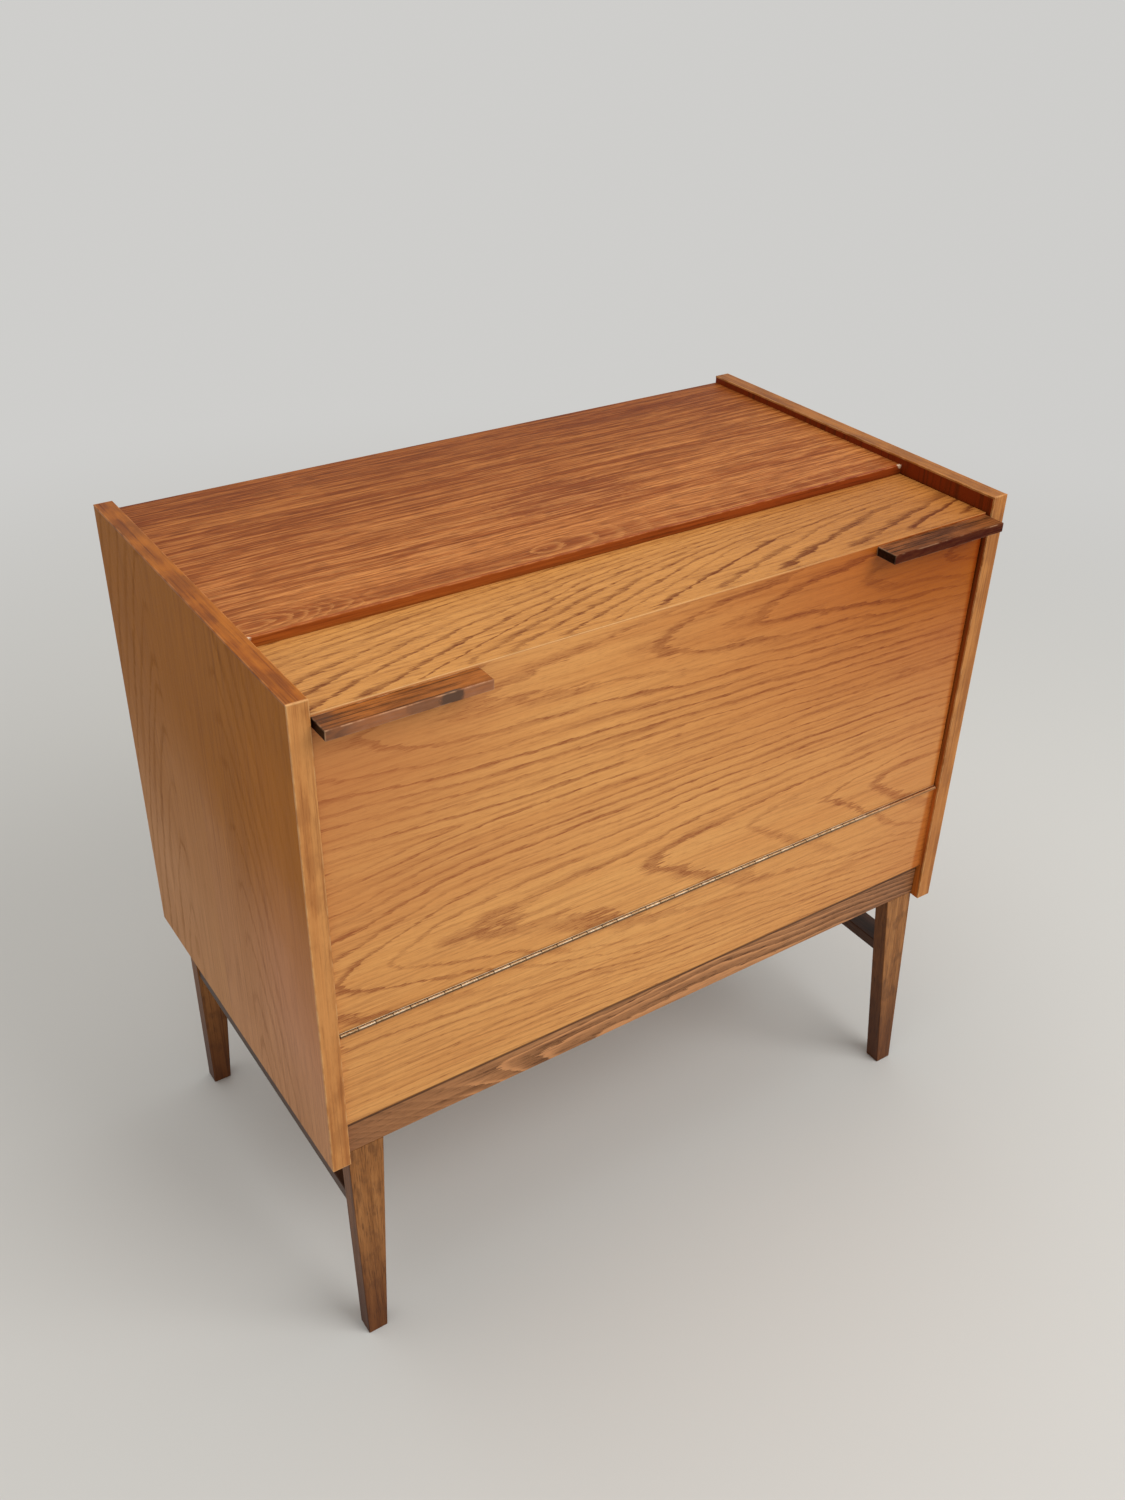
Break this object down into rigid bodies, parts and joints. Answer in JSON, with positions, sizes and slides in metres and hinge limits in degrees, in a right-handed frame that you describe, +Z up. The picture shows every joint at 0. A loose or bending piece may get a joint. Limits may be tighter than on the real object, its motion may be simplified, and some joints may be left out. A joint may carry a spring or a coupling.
{
  "type": "cellarette",
  "caption": "Low drinks cabinet: a drop-down flap carries the front of the top, plank sides rise past it, with bar handles, a glass shelf and a slim stand with tapered legs.",
  "frame": {"origin": "on the floor, under the middle of the whole outline (handles included)", "axes": "+Z up, -Y to the front where the flap opens, +X to the right of someone facing the front"},
  "size_m": [0.8, 0.472, 0.779],
  "materials": {
    "side_veneer": "oak veneer stained golden brown, satin, worn edges",
    "front_lipping": "light oak lipping, upright grain",
    "top_lipping": "reddish brown lipping, worn outer edge",
    "top_veneer": "red-brown teak veneer, satin",
    "top_edge": "dark red-brown lipping",
    "front_veneer": "honey oak veneer with cathedral grain, satin",
    "strip_veneer": "golden oak veneer with dark grain, satin",
    "handle_wood": "dark rosewood, worn edges",
    "stand_wood": "brown stained beech, satin",
    "inner_wood": "plain mahogany-like veneer",
    "back_board": "thin plywood, unfinished outside",
    "plain_softwood": "plain softwood",
    "dowel_wood": "beech dowel",
    "hinge_metal": "aged brass",
    "fitting_metal": "dull plated steel",
    "screw_metal": "slotted screws",
    "guide_plastic": "dark brown plastic",
    "shelf_glass": "clear float glass, polished edges"
  },
  "bodies": {
    "case": {"left_side_panel": "side_veneer", "right_side_panel": "side_veneer", "left_front_lipping": "front_lipping", "right_front_lipping": "front_lipping", "left_top_lipping": "top_lipping", "right_top_lipping": "top_lipping", "top_panel": "top_veneer", "top_panel_lipping": "top_edge", "case_floor": "inner_wood", "divider": "inner_wood", "back_panel": "back_board", "lower_front_panel": "front_veneer", "hinge_case_leaf": "hinge_metal", "hinge_pin": "hinge_metal", "left_stay_guide": "guide_plastic", "right_stay_guide": "guide_plastic", "left_catch": "guide_plastic", "right_catch": "guide_plastic", "left_lid_cleat": "plain_softwood", "right_lid_cleat": "plain_softwood", "glass_shelf": "shelf_glass", "shelf_pins": "fitting_metal", "front_rail": "stand_wood", "rear_rail": "stand_wood", "front_left_leg": "stand_wood", "front_right_leg": "stand_wood", "rear_left_leg": "stand_wood", "rear_right_leg": "stand_wood", "left_stretcher": "stand_wood", "right_stretcher": "stand_wood", "case_dowels": "dowel_wood", "divider_dowels": "dowel_wood", "leg_dowels": "dowel_wood", "stretcher_dowels": "dowel_wood", "back_screws": "screw_metal", "guide_screws": "screw_metal", "cleat_and_catch_screws": "screw_metal", "stand_screws": "screw_metal", "hinge_case_screws": "screw_metal"},
    "flap": {"flap_panel": "front_veneer", "flap_top_strip": "strip_veneer", "flap_glue_block": "plain_softwood", "left_handle": "handle_wood", "right_handle": "handle_wood", "handle_dowels": "dowel_wood", "hinge_flap_leaf": "hinge_metal", "hinge_flap_screws": "screw_metal", "left_stay": "fitting_metal", "right_stay": "fitting_metal", "stay_screws": "screw_metal", "left_strike_plate": "fitting_metal", "right_strike_plate": "fitting_metal", "strike_screws": "screw_metal"}
  },
  "joints": [
    {"name": "flap_hinge", "type": "hinge", "parent": "case", "child": "flap", "pos_m": [0, -0.2126, 0.421], "axis": [1, 0, 0], "range_deg": [0, 90]}
  ]
}
